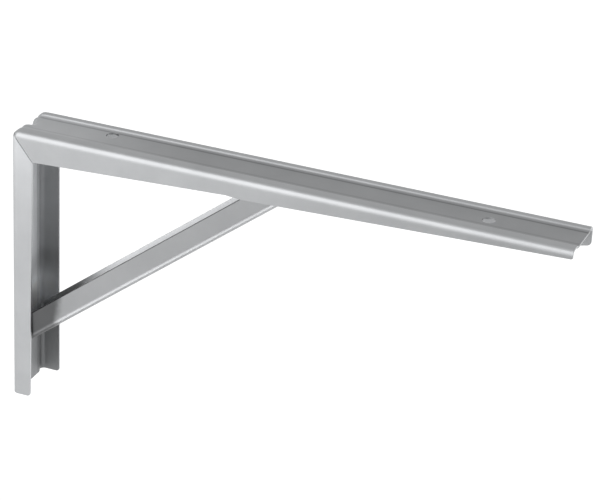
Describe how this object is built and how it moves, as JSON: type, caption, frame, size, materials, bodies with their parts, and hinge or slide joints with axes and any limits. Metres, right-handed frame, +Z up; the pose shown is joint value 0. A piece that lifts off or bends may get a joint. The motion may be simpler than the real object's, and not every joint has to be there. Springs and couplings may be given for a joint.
{
  "type": "shelf bracket",
  "caption": "L-shaped sheet-steel shelf bracket with ridged section, mitred corner, folded side walls and a welded diagonal brace.",
  "frame": {"origin": "where the wall plane meets the shelf plane, midway across the width", "axes": "+X from the wall along the arm, +Z up towards the shelf, +Y across the width"},
  "size_m": [0.3, 0.033, 0.1525],
  "materials": {
    "zinc_sheet": "zinc-coated, satin",
    "zinc_brace": "zinc-coated, satin"
  },
  "bodies": {
    "root": {"pressing": "zinc_sheet", "brace": "zinc_brace"}
  },
  "joints": []
}
